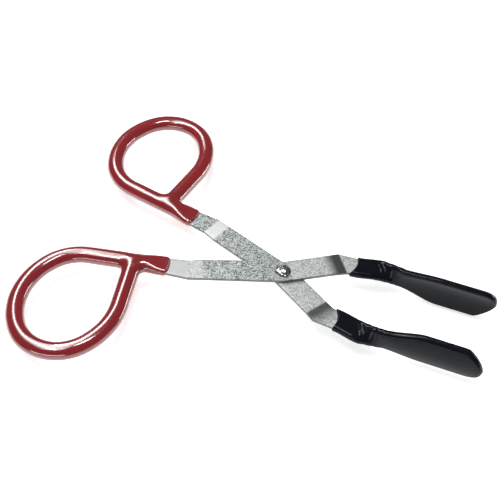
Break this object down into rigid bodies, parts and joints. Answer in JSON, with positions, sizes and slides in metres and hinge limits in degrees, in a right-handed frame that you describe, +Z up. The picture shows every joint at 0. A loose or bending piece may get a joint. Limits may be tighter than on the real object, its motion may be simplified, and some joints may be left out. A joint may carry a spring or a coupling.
{
  "type": "beaker tongs",
  "caption": "Scissor-type laboratory beaker tongs with vinyl-coated finger loops and tall twisted rubber-coated jaws, riveted at a pivot.",
  "frame": {"origin": "centre of the tool's box with the jaws half open, on the plane between the two arms", "axes": "+X from the finger loops to the jaw tips, +Y across the tool, +Z up along the rivet"},
  "size_m": [0.2416, 0.1882, 0.0238],
  "materials": {
    "arm_steel": "spangled zinc-plated steel",
    "grip_vinyl": "glossy dipped vinyl",
    "jaw_rubber": "dipped rubber, semi-gloss",
    "rivet_steel": "hammered dark steel"
  },
  "bodies": {
    "lower_tong": {"lower_arm": "arm_steel", "lower_grip_coat": "grip_vinyl", "lower_jaw_coat": "jaw_rubber", "pivot_rivet": "rivet_steel"},
    "upper_tong": {"upper_arm": "arm_steel", "upper_grip_coat": "grip_vinyl", "upper_jaw_coat": "jaw_rubber"}
  },
  "joints": [
    {"name": "pivot", "type": "hinge", "parent": "lower_tong", "child": "upper_tong", "pos_m": [0.00878, 0, 0], "axis": [0, 0, 1], "range_deg": [-19, 100]}
  ]
}
